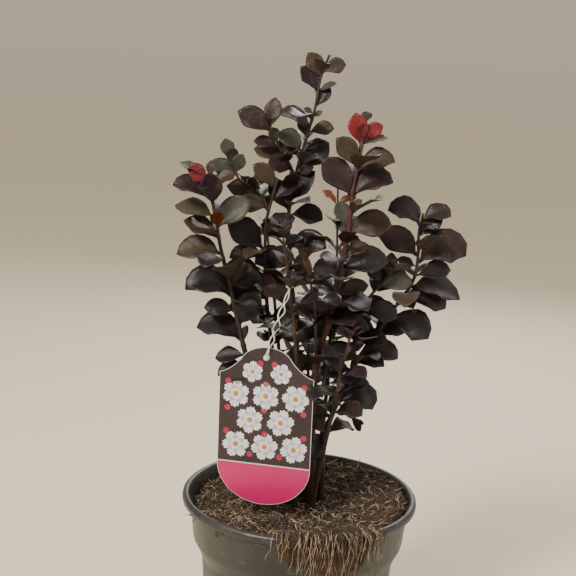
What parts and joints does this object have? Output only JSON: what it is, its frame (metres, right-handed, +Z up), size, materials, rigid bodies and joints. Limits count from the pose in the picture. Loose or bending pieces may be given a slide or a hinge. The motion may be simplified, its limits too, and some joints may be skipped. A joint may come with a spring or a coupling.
{
  "type": "potted crape myrtle",
  "caption": "Young dark-leaved crape myrtle shrub, several thin stems from one root, in a round black nursery pot with a hanging picture label.",
  "frame": {"origin": "centre of the pot's flat underside", "axes": "+Z up along the pot's axis, -Y the front that the label faces, +X to the right seen from the front"},
  "size_m": [0.2194, 0.1981, 0.5108],
  "materials": {
    "black_plastic": "satin",
    "peat": "matte",
    "root_fibre": "matte",
    "bark": "matte",
    "dark_leaf": "satin",
    "label_card": "satin",
    "white_cord": "matte"
  },
  "bodies": {
    "root": {"pot": "black_plastic", "root_ball": "peat", "root_mat": "root_fibre", "stem_left": "bark", "stem_left_upper": "bark", "stem_tall": "bark", "stem_centre_left": "bark", "stem_middle": "bark", "stem_middle_upper": "bark", "stem_right": "bark", "branch_inner_right": "bark", "stem_front": "bark", "stem_front_right": "bark", "stem_back_left": "bark", "stem_back_right": "bark", "stem_back": "bark", "foliage_left_top": "dark_leaf", "foliage_left_low": "dark_leaf", "foliage_top": "dark_leaf", "foliage_upper": "dark_leaf", "foliage_top_left": "dark_leaf", "foliage_upper_left": "dark_leaf", "foliage_centre_left": "dark_leaf", "foliage_middle_top": "dark_leaf", "foliage_middle": "dark_leaf", "foliage_front_left": "dark_leaf", "foliage_front": "dark_leaf", "foliage_centre": "dark_leaf", "foliage_right_top": "dark_leaf", "foliage_right": "dark_leaf", "foliage_inner_right": "dark_leaf", "foliage_low_right": "dark_leaf", "foliage_front_right": "dark_leaf", "foliage_back_left": "dark_leaf", "foliage_back_right": "dark_leaf", "foliage_back": "dark_leaf", "foliage_low_left": "dark_leaf", "label": "label_card", "label_knot": "white_cord", "label_tie": "white_cord"}
  },
  "joints": []
}
